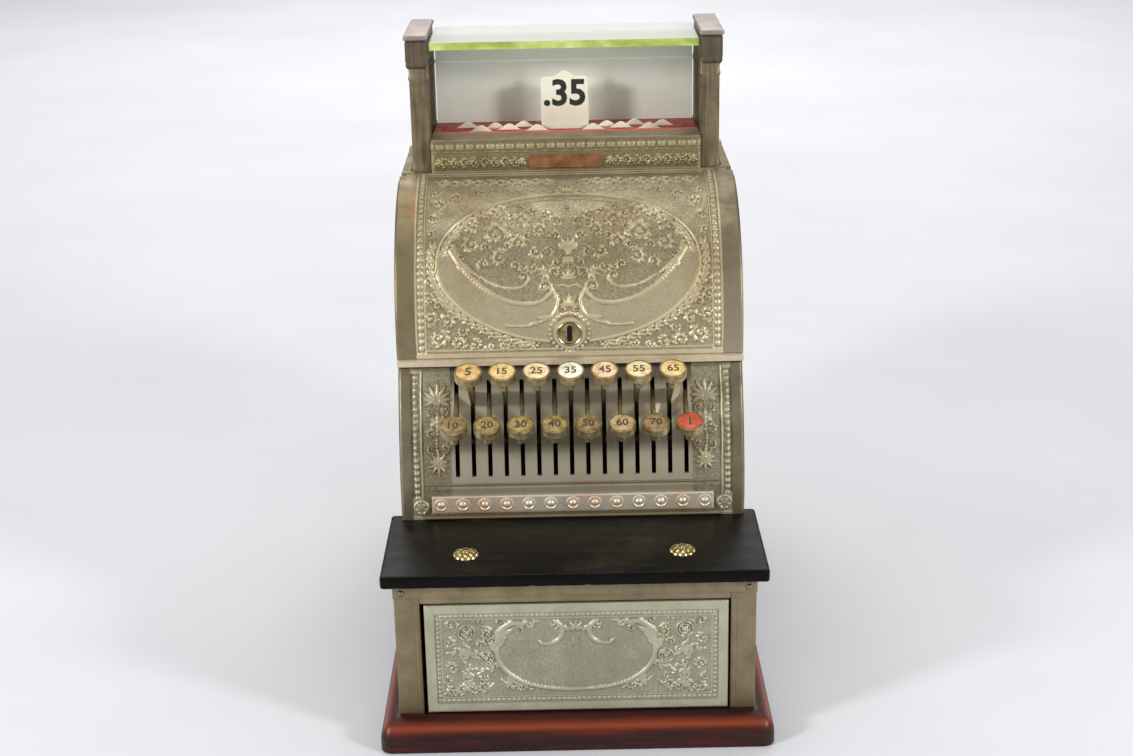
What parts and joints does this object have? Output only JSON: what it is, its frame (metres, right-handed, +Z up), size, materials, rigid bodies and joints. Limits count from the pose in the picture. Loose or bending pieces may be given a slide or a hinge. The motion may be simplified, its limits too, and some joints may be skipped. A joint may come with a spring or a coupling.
{
  "type": "ticket register",
  "caption": "Antique counter register: drawer in a plinth, shelf, rows of round keys, curved lid with a lock, and a glazed box of price tablets.",
  "frame": {"origin": "middle of the plinth's underside, on the counter", "axes": "+X to the clerk's right, +Y to the back, +Z up"},
  "size_m": [0.26, 0.406, 0.436],
  "materials": {
    "plinth_wood": "French-polished mahogany, worn at the edges",
    "nickel_casting": "nickel-plated brass casting with an olive-brown patina",
    "bright_nickel": "nickel plate, brighter where it is handled",
    "sign_nickel": "nickel plate worn to brown brass",
    "slate": "black slate with brown weathering",
    "polished_brass": "polished brass",
    "till_wood": "oiled hardwood",
    "machined_steel": "turned steel",
    "cast_frame": "black japanned iron casting",
    "bell_metal": "polished bell metal",
    "lock_brass": "worn brass",
    "red_lining": "dark red paint",
    "window_glass": "old plate glass, green at its edges",
    "screen_paint": "pale grey-green paint",
    "key_metal": "nickel plate worn to brass, yellowed legend discs",
    "tablet_enamel": "white enamel with black figures"
  },
  "bodies": {
    "root": {"base_board": "plinth_wood", "case_left_side": "nickel_casting", "case_right_side": "nickel_casting", "case_back": "nickel_casting", "case_front_rail": "nickel_casting", "shelf_slab": "slate", "slab_rosettes": "polished_brass", "deck_plate": "nickel_casting", "cheek_left": "nickel_casting", "cheek_right": "nickel_casting", "rear_cover": "nickel_casting", "keyboard_plate": "nickel_casting", "bead_strip": "bright_nickel", "key_frame": "cast_frame", "key_shaft": "machined_steel", "mechanism_bridge": "cast_frame", "bell": "bell_metal", "lid_hinge_pin": "machined_steel", "sign_left_frame": "sign_nickel", "sign_right_frame": "sign_nickel", "sign_sills": "sign_nickel", "sign_channel": "red_lining", "sign_glass": "window_glass", "back_screen": "screen_paint"},
    "drawer": {"drawer_front": "bright_nickel", "drawer_box": "till_wood", "coin_tray": "till_wood"},
    "lid": {"lid": "nickel_casting"},
    "lock": {"lock_barrel": "lock_brass"},
    "counter": {"counter_wheels": "machined_steel"},
    "key_01": {"key_01": "key_metal"},
    "key_02": {"key_02": "key_metal"},
    "key_03": {"key_03": "key_metal"},
    "key_04": {"key_04": "key_metal"},
    "key_05": {"key_05": "key_metal"},
    "key_06": {"key_06": "key_metal"},
    "key_07": {"key_07": "key_metal"},
    "key_08": {"key_08": "key_metal"},
    "key_09": {"key_09": "key_metal"},
    "key_10": {"key_10": "key_metal"},
    "key_11": {"key_11": "key_metal"},
    "key_12": {"key_12": "key_metal"},
    "key_13": {"key_13": "key_metal"},
    "key_14": {"key_14": "key_metal"},
    "key_15": {"key_15": "key_metal"},
    "tablet_01": {"tablet_01": "tablet_enamel"},
    "tablet_02": {"tablet_02": "tablet_enamel"},
    "tablet_03": {"tablet_03": "tablet_enamel"},
    "tablet_04": {"tablet_04": "tablet_enamel"},
    "tablet_05": {"tablet_05": "tablet_enamel"},
    "tablet_06": {"tablet_06": "tablet_enamel"},
    "tablet_07": {"tablet_07": "tablet_enamel"},
    "tablet_08": {"tablet_08": "tablet_enamel"},
    "tablet_09": {"tablet_09": "tablet_enamel"},
    "tablet_10": {"tablet_10": "tablet_enamel"},
    "tablet_11": {"tablet_11": "tablet_enamel"},
    "tablet_12": {"tablet_12": "tablet_enamel"},
    "tablet_13": {"tablet_13": "tablet_enamel"},
    "tablet_14": {"tablet_14": "tablet_enamel"},
    "tablet_15": {"tablet_15": "tablet_enamel"}
  },
  "joints": [
    {"name": "drawer_slide", "type": "slide", "parent": "root", "child": "drawer", "axis": [0, -1, 0], "range_m": [0, 0.22]},
    {"name": "lid_hinge", "type": "hinge", "parent": "root", "child": "lid", "pos_m": [0, 0.004, 0.3345], "axis": [-1, 0, 0], "range_deg": [0, 75]},
    {"name": "lock_turn", "type": "hinge", "parent": "lid", "child": "lock", "pos_m": [0, -0.08, 0.252], "axis": [0, 1, 0], "range_deg": [0, 90]},
    {"name": "counter_turn", "type": "hinge", "parent": "root", "child": "counter", "pos_m": [0, -0.008, 0.263], "axis": [1, 0, 0], "continuous": true},
    {"name": "key_01_press", "type": "hinge", "parent": "root", "child": "key_01", "pos_m": [-0.0777, -0.034, 0.154], "axis": [1, 0, 0], "range_deg": [0, 24], "stiffness_Nm_per_rad": 0.35, "springref_deg": -20.05},
    {"name": "key_02_press", "type": "hinge", "parent": "root", "child": "key_02", "pos_m": [-0.0666, -0.034, 0.154], "axis": [1, 0, 0], "range_deg": [0, 24], "stiffness_Nm_per_rad": 0.35, "springref_deg": -20.05},
    {"name": "key_03_press", "type": "hinge", "parent": "root", "child": "key_03", "pos_m": [-0.0555, -0.034, 0.154], "axis": [1, 0, 0], "range_deg": [0, 24], "stiffness_Nm_per_rad": 0.35, "springref_deg": -20.05},
    {"name": "key_04_press", "type": "hinge", "parent": "root", "child": "key_04", "pos_m": [-0.0444, -0.034, 0.154], "axis": [1, 0, 0], "range_deg": [0, 24], "stiffness_Nm_per_rad": 0.35, "springref_deg": -20.05},
    {"name": "key_05_press", "type": "hinge", "parent": "root", "child": "key_05", "pos_m": [-0.0333, -0.034, 0.154], "axis": [1, 0, 0], "range_deg": [0, 24], "stiffness_Nm_per_rad": 0.35, "springref_deg": -20.05},
    {"name": "key_06_press", "type": "hinge", "parent": "root", "child": "key_06", "pos_m": [-0.0222, -0.034, 0.154], "axis": [1, 0, 0], "range_deg": [0, 24], "stiffness_Nm_per_rad": 0.35, "springref_deg": -20.05},
    {"name": "key_07_press", "type": "hinge", "parent": "root", "child": "key_07", "pos_m": [-0.0111, -0.034, 0.154], "axis": [1, 0, 0], "range_deg": [0, 24], "stiffness_Nm_per_rad": 0.35, "springref_deg": -20.05},
    {"name": "key_08_press", "type": "hinge", "parent": "root", "child": "key_08", "pos_m": [0, -0.034, 0.154], "axis": [1, 0, 0], "range_deg": [0, 24], "stiffness_Nm_per_rad": 0.35, "springref_deg": -20.05},
    {"name": "key_09_press", "type": "hinge", "parent": "root", "child": "key_09", "pos_m": [0.0111, -0.034, 0.154], "axis": [1, 0, 0], "range_deg": [0, 24], "stiffness_Nm_per_rad": 0.35, "springref_deg": -20.05},
    {"name": "key_10_press", "type": "hinge", "parent": "root", "child": "key_10", "pos_m": [0.0222, -0.034, 0.154], "axis": [1, 0, 0], "range_deg": [0, 24], "stiffness_Nm_per_rad": 0.35, "springref_deg": -20.05},
    {"name": "key_11_press", "type": "hinge", "parent": "root", "child": "key_11", "pos_m": [0.0333, -0.034, 0.154], "axis": [1, 0, 0], "range_deg": [0, 24], "stiffness_Nm_per_rad": 0.35, "springref_deg": -20.05},
    {"name": "key_12_press", "type": "hinge", "parent": "root", "child": "key_12", "pos_m": [0.0444, -0.034, 0.154], "axis": [1, 0, 0], "range_deg": [0, 24], "stiffness_Nm_per_rad": 0.35, "springref_deg": -20.05},
    {"name": "key_13_press", "type": "hinge", "parent": "root", "child": "key_13", "pos_m": [0.0555, -0.034, 0.154], "axis": [1, 0, 0], "range_deg": [0, 24], "stiffness_Nm_per_rad": 0.35, "springref_deg": -20.05},
    {"name": "key_14_press", "type": "hinge", "parent": "root", "child": "key_14", "pos_m": [0.0666, -0.034, 0.154], "axis": [1, 0, 0], "range_deg": [0, 24], "stiffness_Nm_per_rad": 0.35, "springref_deg": -20.05},
    {"name": "key_15_press", "type": "hinge", "parent": "root", "child": "key_15", "pos_m": [0.0777, -0.034, 0.154], "axis": [1, 0, 0], "range_deg": [0, 24], "stiffness_Nm_per_rad": 0.35, "springref_deg": -20.05},
    {"name": "tablet_01_rise", "type": "slide", "parent": "root", "child": "tablet_01", "axis": [0, 0, 1], "range_m": [0, 0.04184]},
    {"name": "tablet_02_rise", "type": "slide", "parent": "root", "child": "tablet_02", "axis": [0, 0, 1], "range_m": [0, 0.0361]},
    {"name": "tablet_03_rise", "type": "slide", "parent": "root", "child": "tablet_03", "axis": [0, 0, 1], "range_m": [0, 0.03993]},
    {"name": "tablet_04_rise", "type": "slide", "parent": "root", "child": "tablet_04", "axis": [0, 0, 1], "range_m": [0, 0.03801]},
    {"name": "tablet_05_rise", "type": "slide", "parent": "root", "child": "tablet_05", "axis": [0, 0, 1], "range_m": [0, 0.04184]},
    {"name": "tablet_06_rise", "type": "slide", "parent": "root", "child": "tablet_06", "axis": [0, 0, 1], "range_m": [0, 0.0361]},
    {"name": "tablet_07_rise", "type": "slide", "parent": "root", "child": "tablet_07", "axis": [0, 0, 1], "range_m": [0, 0.03993]},
    {"name": "tablet_08_drop", "type": "slide", "parent": "root", "child": "tablet_08", "axis": [0, 0, 1], "range_m": [-0.03781, 0]},
    {"name": "tablet_09_rise", "type": "slide", "parent": "root", "child": "tablet_09", "axis": [0, 0, 1], "range_m": [0, 0.04184]},
    {"name": "tablet_10_rise", "type": "slide", "parent": "root", "child": "tablet_10", "axis": [0, 0, 1], "range_m": [0, 0.0361]},
    {"name": "tablet_11_rise", "type": "slide", "parent": "root", "child": "tablet_11", "axis": [0, 0, 1], "range_m": [0, 0.03993]},
    {"name": "tablet_12_rise", "type": "slide", "parent": "root", "child": "tablet_12", "axis": [0, 0, 1], "range_m": [0, 0.03801]},
    {"name": "tablet_13_rise", "type": "slide", "parent": "root", "child": "tablet_13", "axis": [0, 0, 1], "range_m": [0, 0.04184]},
    {"name": "tablet_14_rise", "type": "slide", "parent": "root", "child": "tablet_14", "axis": [0, 0, 1], "range_m": [0, 0.0361]},
    {"name": "tablet_15_rise", "type": "slide", "parent": "root", "child": "tablet_15", "axis": [0, 0, 1], "range_m": [0, 0.03993]}
  ],
  "couplings": [
    {"joint": "tablet_01_rise", "follows": "key_01_press", "m_per_rad": 0.099414},
    {"joint": "tablet_02_rise", "follows": "key_02_press", "m_per_rad": 0.085696},
    {"joint": "tablet_03_rise", "follows": "key_03_press", "m_per_rad": 0.094842},
    {"joint": "tablet_04_rise", "follows": "key_04_press", "m_per_rad": 0.090269},
    {"joint": "tablet_05_rise", "follows": "key_05_press", "m_per_rad": 0.099414},
    {"joint": "tablet_06_rise", "follows": "key_06_press", "m_per_rad": 0.085696},
    {"joint": "tablet_07_rise", "follows": "key_07_press", "m_per_rad": 0.094842},
    {"joint": "tablet_09_rise", "follows": "key_09_press", "m_per_rad": 0.099414},
    {"joint": "tablet_10_rise", "follows": "key_10_press", "m_per_rad": 0.085696},
    {"joint": "tablet_11_rise", "follows": "key_11_press", "m_per_rad": 0.094842},
    {"joint": "tablet_12_rise", "follows": "key_12_press", "m_per_rad": 0.090269},
    {"joint": "tablet_13_rise", "follows": "key_13_press", "m_per_rad": 0.099414},
    {"joint": "tablet_14_rise", "follows": "key_14_press", "m_per_rad": 0.085696},
    {"joint": "tablet_15_rise", "follows": "key_15_press", "m_per_rad": 0.094842}
  ]
}
